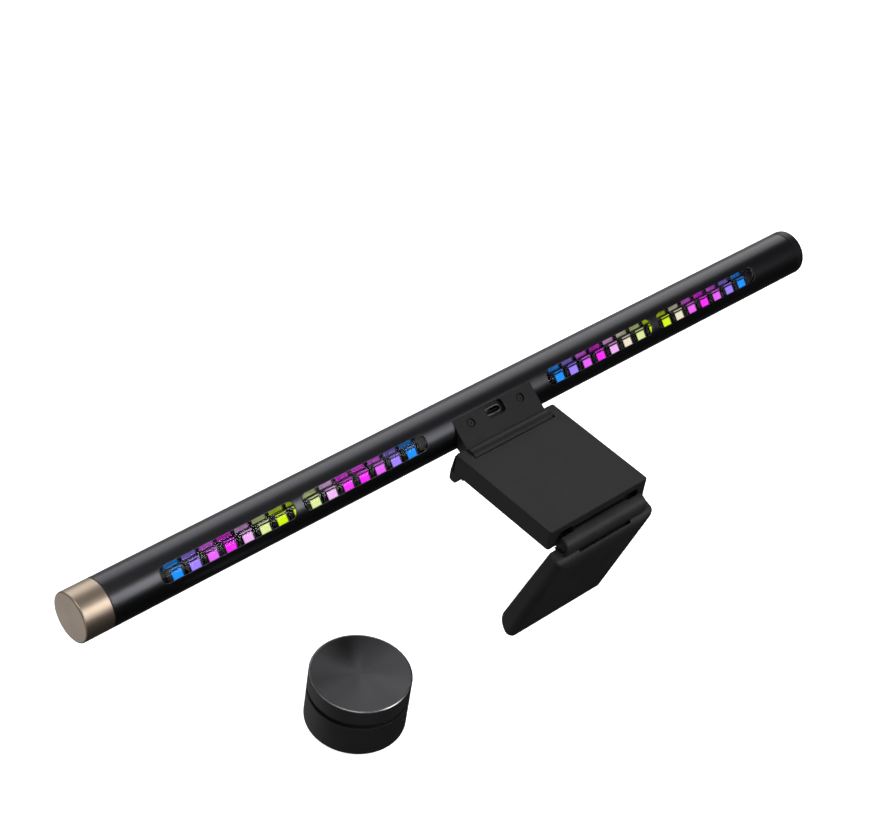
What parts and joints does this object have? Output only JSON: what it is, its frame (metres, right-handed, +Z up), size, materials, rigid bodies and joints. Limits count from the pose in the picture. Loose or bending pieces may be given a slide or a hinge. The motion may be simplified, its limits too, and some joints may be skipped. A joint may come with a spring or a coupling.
{
  "type": "monitor light bar",
  "caption": "Tube-shaped lamp with coloured cells behind windows, tilting on a clamp with a sprung rear leg that grips a monitor's top edge, and a loose desk dial.",
  "frame": {"origin": "middle of the clamp's soft pad, on the face that rests on the monitor's top edge", "axes": "+X along the lamp tube towards the metal-coloured cap, -Y towards the person at the desk, +Z up"},
  "size_m": [0.427, 0.0941, 0.0905],
  "materials": {
    "black_anodised": "satin anodised",
    "champagne_anodised": "satin anodised",
    "black_plastic": "fine matte texture",
    "dark_plastic": "satin",
    "inner_plastic": "matte",
    "clear_plastic": "clear gloss",
    "frosted_plastic": "frosted",
    "white_board": "white solder mask",
    "black_board": "black solder mask",
    "green_board": "green solder mask",
    "led_white": "moulded lens",
    "led_colour": "moulded lens",
    "steel": "ground",
    "black_steel": "black oxide",
    "nickel": "nickel plated",
    "ballast": "as cast",
    "silicone": "matte",
    "dial_metal": "black anodised, circular brushed top"
  },
  "bodies": {
    "clamp": {"clamp_cover": "black_plastic", "clamp_base": "black_plastic", "rest_pad": "silicone", "clamp_screws": "black_steel", "ballast_weight": "ballast", "front_hook": "black_plastic", "hook_pad": "silicone", "tilt_pin": "steel", "tilt_washers": "steel", "leg_pin": "steel", "torsion_spring": "steel"},
    "lamp_head": {"lamp_tube": "black_anodised", "end_cap_gold": "champagne_anodised", "end_cap_black": "black_plastic", "cap_seals": "silicone", "window_lenses": "clear_plastic", "front_diffuser": "frosted_plastic", "white_led_board": "white_board", "white_leds": "led_white", "rgb_board_left": "black_board", "rgb_board_right": "black_board", "rgb_leds_left": "led_colour", "rgb_leds_right": "led_colour", "rgb_reflector_left": "inner_plastic", "rgb_reflector_right": "inner_plastic", "board_carrier_left": "inner_plastic", "board_carrier_right": "inner_plastic", "control_board": "green_board", "control_chips": "inner_plastic", "radio_module": "green_board", "board_links": "nickel", "usb_c_shell": "nickel", "usb_c_tongue": "inner_plastic", "mount_block": "dark_plastic", "block_screws": "black_steel", "screw_anchors": "nickel"},
    "rear_leg": {"leg_knuckle": "dark_plastic", "leg_shell": "black_plastic", "leg_cover": "black_plastic", "leg_screws": "black_steel", "leg_weight": "ballast", "leg_grip_pad": "silicone"},
    "remote_base": {"remote_housing": "black_plastic", "remote_cover": "black_plastic", "remote_foot": "silicone", "remote_screws": "black_steel", "remote_cell": "nickel", "cell_contacts": "nickel", "remote_board": "green_board", "encoder_body": "steel"},
    "dial_plunger": {"encoder_shaft": "steel"},
    "dial": {"dial_hub": "inner_plastic", "dial_ring": "dial_metal", "dial_disc": "dial_metal"}
  },
  "joints": [
    {"name": "lamp_tilt", "type": "hinge", "parent": "clamp", "child": "lamp_head", "pos_m": [0, -0.0263, 0.0076], "axis": [1, 0, 0], "range_deg": [-30, 25]},
    {"name": "leg_swing", "type": "hinge", "parent": "clamp", "child": "rear_leg", "pos_m": [0, 0.0316, 0.0014], "axis": [1, 0, 0], "range_deg": [0, 80], "stiffness_Nm_per_rad": 0.08, "springref_deg": -34.38},
    {"name": "remote_lift", "type": "slide", "parent": "clamp", "child": "remote_base", "axis": [0, 0, 1], "range_m": [0, 0.06]},
    {"name": "dial_press", "type": "slide", "parent": "remote_base", "child": "dial_plunger", "axis": [0, 0, -1], "range_m": [0, 0.0006], "stiffness_N_per_m": 1500},
    {"name": "dial_turn", "type": "hinge", "parent": "dial_plunger", "child": "dial", "pos_m": [0.109, 0.0084, -0.05], "axis": [0, 0, 1], "continuous": true}
  ]
}
